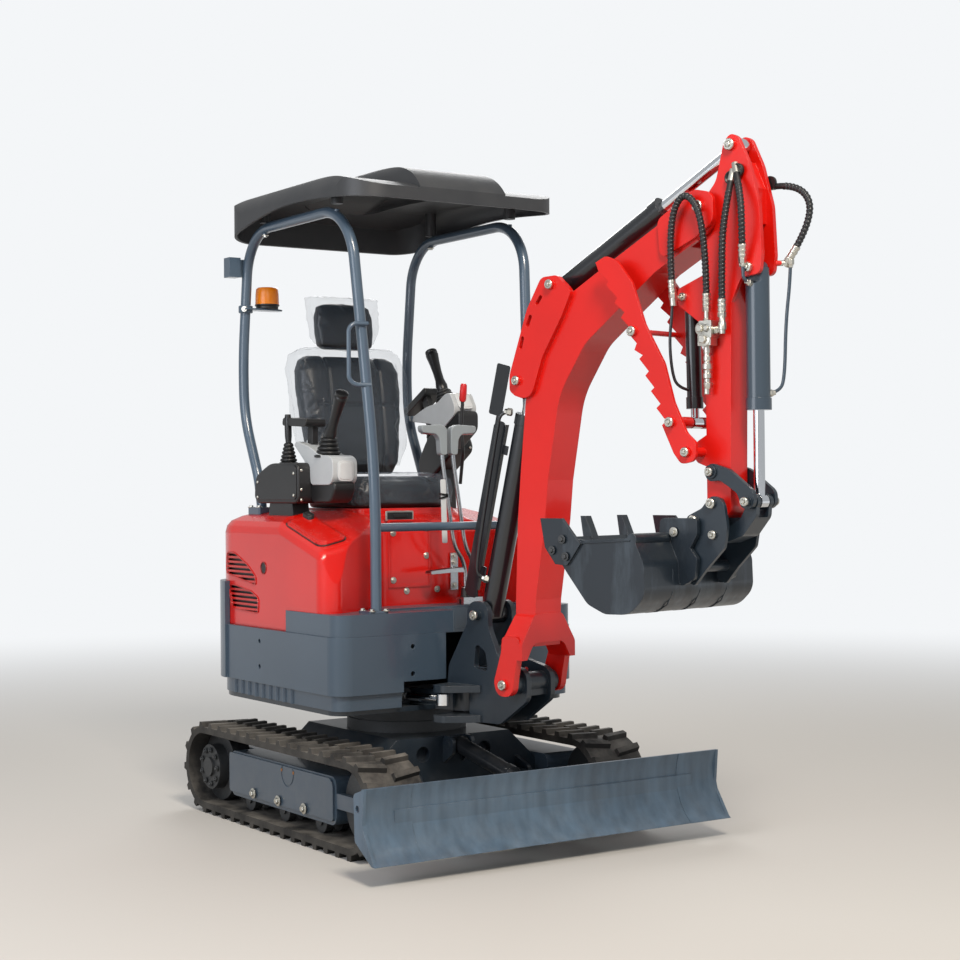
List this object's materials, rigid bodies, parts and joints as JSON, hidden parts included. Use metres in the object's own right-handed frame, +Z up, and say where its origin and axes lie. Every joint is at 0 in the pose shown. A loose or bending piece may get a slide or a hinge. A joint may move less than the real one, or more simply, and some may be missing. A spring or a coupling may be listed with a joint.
{
  "type": "mini excavator",
  "caption": "Tracked mini excavator with an open canopy, seat, dozer blade, engine hood and a swinging boom with stick, bucket and thumb.",
  "frame": {"origin": "middle of the whole machine's outer box without its free hoses, on the ground", "axes": "+X from the tail to the blade, +Y to the machine's left, +Z up"},
  "size_m": [2.3122, 1.334, 2.214],
  "materials": {
    "red_paint": "gloss",
    "blue_grey_paint": "satin",
    "dark_paint": "satin",
    "cylinder_paint": "satin",
    "chrome_rod": "polished",
    "track_rubber": "matt",
    "cast_steel": "matt",
    "black_plastic": "matt",
    "roof_plastic": "satin",
    "grey_metal": "satin",
    "seat_vinyl": "matt",
    "amber_lens": "gloss",
    "engine_metal": "matt",
    "hose_rubber": "matt"
  },
  "bodies": {
    "undercarriage": {"track_left": "track_rubber", "track_right": "track_rubber", "side_frame_left": "blue_grey_paint", "side_frame_right": "blue_grey_paint", "wheels_left": "cast_steel", "wheels_right": "cast_steel", "carbody": "blue_grey_paint", "slew_ring": "cast_steel"},
    "blade": {"blade": "blue_grey_paint", "blade_arms": "blue_grey_paint"},
    "blade_cylinder_barrel": {"blade_cylinder_barrel": "cylinder_paint"},
    "blade_cylinder_rod": {"blade_cylinder_rod": "chrome_rod"},
    "upper": {"deck": "dark_paint", "skirt": "blue_grey_paint", "step_floor": "blue_grey_paint", "hood": "red_paint", "engine": "engine_metal", "seat_cushion": "seat_vinyl", "seat_back": "seat_vinyl", "console_left": "black_plastic", "console_right": "black_plastic", "travel_levers": "grey_metal", "canopy_frame": "blue_grey_paint", "roof": "roof_plastic", "beacon": "amber_lens"},
    "tank_lid": {"tank_lid": "red_paint"},
    "swing_post": {"swing_post": "dark_paint"},
    "swing_cylinder_barrel": {"swing_cylinder_barrel": "cylinder_paint"},
    "swing_cylinder_rod": {"swing_cylinder_rod": "chrome_rod"},
    "boom": {"boom": "red_paint"},
    "boom_cylinder_barrel": {"boom_cylinder_barrel": "cylinder_paint"},
    "boom_cylinder_rod": {"boom_cylinder_rod": "chrome_rod"},
    "stick": {"stick": "red_paint", "hose_thumb": "hose_rubber", "hose_valve": "hose_rubber", "hose_bucket_near": "hose_rubber", "hose_bucket_far": "hose_rubber"},
    "arm_cylinder_barrel": {"arm_cylinder_barrel": "cylinder_paint"},
    "arm_cylinder_rod": {"arm_cylinder_rod": "chrome_rod"},
    "rocker": {"rocker": "dark_paint"},
    "bucket_link": {"bucket_link": "dark_paint"},
    "bucket": {"coupler": "dark_paint", "bucket": "dark_paint"},
    "bucket_cylinder_barrel": {"bucket_cylinder_barrel": "cylinder_paint"},
    "bucket_cylinder_rod": {"bucket_cylinder_rod": "chrome_rod"},
    "thumb": {"thumb": "red_paint"},
    "thumb_cylinder_barrel": {"thumb_cylinder_barrel": "cylinder_paint"},
    "thumb_cylinder_rod": {"thumb_cylinder_rod": "chrome_rod"}
  },
  "joints": [
    {"name": "slew_joint", "type": "hinge", "parent": "undercarriage", "child": "upper", "pos_m": [-0.4595, 0, 0.4], "axis": [0, 0, 1], "continuous": true},
    {"name": "blade_joint", "type": "hinge", "parent": "undercarriage", "child": "blade", "pos_m": [-0.1095, 0, 0.165], "axis": [0, -1, 0], "range_deg": [-18, 12]},
    {"name": "blade_cylinder_hinge", "type": "hinge", "parent": "undercarriage", "child": "blade_cylinder_barrel", "pos_m": [-0.1295, 0, 0.292], "axis": [0, -1, 0], "range_deg": [-16.07, 10.78]},
    {"name": "blade_cylinder_slide", "type": "slide", "parent": "blade_cylinder_barrel", "child": "blade_cylinder_rod", "axis": [0.9787, 0, -0.2052], "range_m": [-0.02508, 0.03736]},
    {"name": "tank_lid_joint", "type": "hinge", "parent": "upper", "child": "tank_lid", "pos_m": [-0.3945, -0.436, 0.98808], "axis": [0.959, 0, -0.2833], "range_deg": [0, 75]},
    {"name": "swing_joint", "type": "hinge", "parent": "upper", "child": "swing_post", "pos_m": [-0.0665, 0, 0.45], "axis": [0, 0, 1], "range_deg": [-57.5, 57.5]},
    {"name": "swing_cylinder_hinge", "type": "hinge", "parent": "upper", "child": "swing_cylinder_barrel", "pos_m": [-0.5195, -0.25, 0.456], "axis": [0, 0, 1], "range_deg": [-1.52, 1.52]},
    {"name": "swing_cylinder_slide", "type": "slide", "parent": "swing_cylinder_barrel", "child": "swing_cylinder_rod", "axis": [0.97, 0.2433, 0], "range_m": [-0.11267, 0.11267]},
    {"name": "boom_joint", "type": "hinge", "parent": "swing_post", "child": "boom", "pos_m": [0.20003, 0.05909, 0.52], "axis": [0.2164, -0.9763, 0], "range_deg": [-80, 4]},
    {"name": "boom_cylinder_hinge", "type": "hinge", "parent": "swing_post", "child": "boom_cylinder_barrel", "pos_m": [0.03699, 0.02294, 0.728], "axis": [0.2164, -0.9763, 0], "range_deg": [-81.52, 4.27]},
    {"name": "boom_cylinder_slide", "type": "slide", "parent": "boom_cylinder_barrel", "child": "boom_cylinder_rod", "axis": [0.2419, 0.0536, 0.9688], "range_m": [-0.01766, 0.34367]},
    {"name": "arm_joint", "type": "hinge", "parent": "boom", "child": "stick", "pos_m": [0.9137, 0.2173, 1.939], "axis": [-0.2164, 0.9763, 0], "range_deg": [-85, 7]},
    {"name": "arm_cylinder_hinge", "type": "hinge", "parent": "boom", "child": "arm_cylinder_barrel", "pos_m": [0.36112, 0.0948, 1.761], "axis": [-0.2164, 0.9763, 0], "range_deg": [-10.04, 1.01]},
    {"name": "arm_cylinder_slide", "type": "slide", "parent": "arm_cylinder_barrel", "child": "arm_cylinder_rod", "axis": [0.8627, 0.1913, 0.4681], "range_m": [-0.23953, 0.02018]},
    {"name": "bucket_joint", "type": "hinge", "parent": "stick", "child": "bucket", "pos_m": [0.95666, 0.22683, 1.088], "axis": [0.2164, -0.9763, 0], "range_deg": [-10, 120]},
    {"name": "rocker_hinge", "type": "hinge", "parent": "stick", "child": "rocker", "pos_m": [0.93908, 0.22293, 1.178], "axis": [0.2164, -0.9763, 0], "range_deg": [-5.43, 62.94]},
    {"name": "bucket_link_hinge", "type": "hinge", "parent": "bucket", "child": "bucket_link", "pos_m": [0.96154, 0.22791, 0.999], "axis": [0.2164, -0.9763, 0], "range_deg": [-92.04, 7.85]},
    {"name": "bucket_cylinder_hinge", "type": "hinge", "parent": "stick", "child": "bucket_cylinder_barrel", "pos_m": [1.05917, 0.24955, 1.754], "axis": [0.2164, -0.9763, 0], "range_deg": [-0.55, 4.45]},
    {"name": "bucket_cylinder_slide", "type": "slide", "parent": "bucket_cylinder_barrel", "child": "bucket_cylinder_rod", "axis": [0.003, 0.0007, -1], "range_m": [-0.15704, 0.01354]},
    {"name": "thumb_joint", "type": "hinge", "parent": "stick", "child": "thumb", "pos_m": [0.89515, 0.21319, 1.235], "axis": [0.2164, -0.9763, 0], "range_deg": [0, 75]},
    {"name": "thumb_cylinder_hinge", "type": "hinge", "parent": "stick", "child": "thumb_cylinder_barrel", "pos_m": [0.83364, 0.19956, 1.688], "axis": [0.2164, -0.9763, 0], "range_deg": [-7.53, 0.2]},
    {"name": "thumb_cylinder_slide", "type": "slide", "parent": "thumb_cylinder_barrel", "child": "thumb_cylinder_rod", "axis": [0.0213, 0.0047, -0.9998], "range_m": [-0.0005, 0.11315]}
  ],
  "couplings": [
    {"joint": "blade_cylinder_hinge", "follows": "blade_joint", "ratio": 0.8817},
    {"joint": "blade_cylinder_slide", "follows": "blade_joint", "m_per_rad": -0.11734},
    {"joint": "swing_cylinder_hinge", "follows": "swing_joint", "ratio": 0.023},
    {"joint": "swing_cylinder_slide", "follows": "swing_joint", "m_per_rad": 0.11177},
    {"joint": "boom_cylinder_hinge", "follows": "boom_joint", "ratio": 1.0165},
    {"joint": "boom_cylinder_slide", "follows": "boom_joint", "m_per_rad": -0.24578},
    {"joint": "arm_cylinder_hinge", "follows": "arm_joint", "ratio": 0.1158},
    {"joint": "arm_cylinder_slide", "follows": "arm_joint", "m_per_rad": 0.16112},
    {"joint": "rocker_hinge", "follows": "bucket_joint", "ratio": 0.52285},
    {"joint": "bucket_link_hinge", "follows": "bucket_joint", "ratio": -0.76531},
    {"joint": "bucket_cylinder_hinge", "follows": "bucket_joint", "ratio": 0.03545},
    {"joint": "bucket_cylinder_slide", "follows": "bucket_joint", "m_per_rad": -0.07474},
    {"joint": "thumb_cylinder_hinge", "follows": "thumb_joint", "ratio": -0.0977},
    {"joint": "thumb_cylinder_slide", "follows": "thumb_joint", "m_per_rad": 0.08606}
  ]
}
